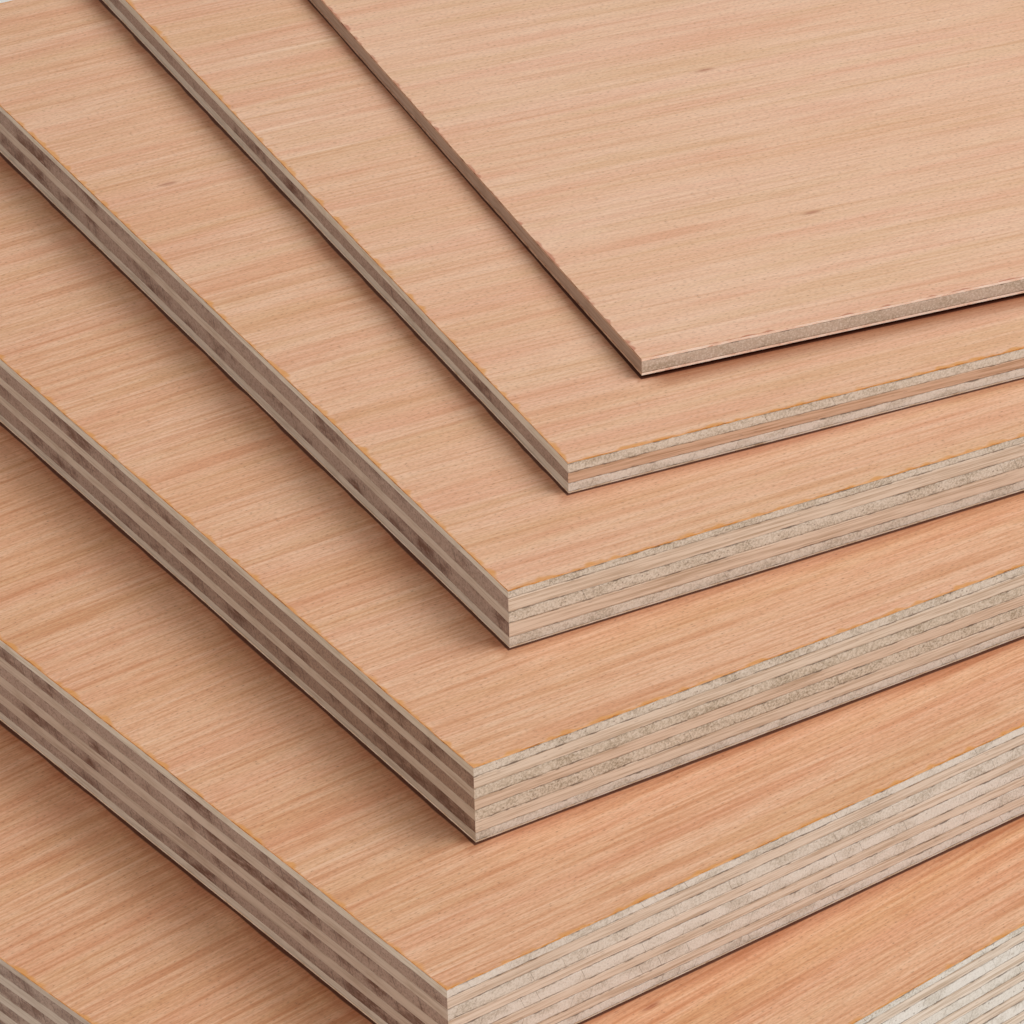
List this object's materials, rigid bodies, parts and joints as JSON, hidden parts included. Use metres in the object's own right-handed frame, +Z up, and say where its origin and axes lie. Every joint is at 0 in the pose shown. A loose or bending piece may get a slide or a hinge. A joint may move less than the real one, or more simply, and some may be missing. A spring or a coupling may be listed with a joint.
{
  "type": "stack of plywood sheets",
  "caption": "Fanned stack of small plywood panels of different thicknesses lying loose on each other, with their glued veneer layers showing at the sawn edges.",
  "frame": {"origin": "on the floor, under the middle of the stack's footprint", "axes": "+Z up, through the thickness of the sheets; +X along the bottom sheet's long side and face grain; +Y across it"},
  "size_m": [0.6124, 0.3804, 0.0764],
  "materials": {
    "face_veneer": "sanded",
    "crossband": "sawn",
    "long_grain_ply": "sawn"
  },
  "bodies": {
    "root": {"sheet_12mm_ply_01_face": "face_veneer", "sheet_12mm_ply_02_crossband": "crossband", "sheet_12mm_ply_03_long_grain": "long_grain_ply", "sheet_12mm_ply_04_crossband": "crossband", "sheet_12mm_ply_05_long_grain": "long_grain_ply", "sheet_12mm_ply_06_crossband": "crossband", "sheet_12mm_ply_07_back": "face_veneer", "sheet_15mm_ply_01_face": "face_veneer", "sheet_15mm_ply_02_crossband": "crossband", "sheet_15mm_ply_03_long_grain": "long_grain_ply", "sheet_15mm_ply_04_crossband": "crossband", "sheet_15mm_ply_05_long_grain": "long_grain_ply", "sheet_15mm_ply_06_crossband": "crossband", "sheet_15mm_ply_07_long_grain": "long_grain_ply", "sheet_15mm_ply_08_crossband": "crossband", "sheet_15mm_ply_09_back": "face_veneer", "sheet_18mm_ply_01_face": "face_veneer", "sheet_18mm_ply_02_crossband": "crossband", "sheet_18mm_ply_03_long_grain": "long_grain_ply", "sheet_18mm_ply_04_crossband": "crossband", "sheet_18mm_ply_05_long_grain": "long_grain_ply", "sheet_18mm_ply_06_crossband": "crossband", "sheet_18mm_ply_07_long_grain": "long_grain_ply", "sheet_18mm_ply_08_crossband": "crossband", "sheet_18mm_ply_09_long_grain": "long_grain_ply", "sheet_18mm_ply_10_crossband": "crossband", "sheet_18mm_ply_11_back": "face_veneer", "sheet_22mm_ply_01_face": "face_veneer", "sheet_22mm_ply_02_crossband": "crossband", "sheet_22mm_ply_03_long_grain": "long_grain_ply", "sheet_22mm_ply_04_crossband": "crossband", "sheet_22mm_ply_05_long_grain": "long_grain_ply", "sheet_22mm_ply_06_crossband": "crossband", "sheet_22mm_ply_07_long_grain": "long_grain_ply", "sheet_22mm_ply_08_crossband": "crossband", "sheet_22mm_ply_09_long_grain": "long_grain_ply", "sheet_22mm_ply_10_crossband": "crossband", "sheet_22mm_ply_11_long_grain": "long_grain_ply", "sheet_22mm_ply_12_crossband": "crossband", "sheet_22mm_ply_13_back": "face_veneer", "sheet_3mm_ply_01_face": "face_veneer", "sheet_3mm_ply_02_crossband": "crossband", "sheet_3mm_ply_03_back": "face_veneer", "sheet_6mm_ply_01_face": "face_veneer", "sheet_6mm_ply_02_crossband": "crossband", "sheet_6mm_ply_03_long_grain": "long_grain_ply", "sheet_6mm_ply_04_crossband": "crossband", "sheet_6mm_ply_05_back": "face_veneer"}
  },
  "joints": []
}
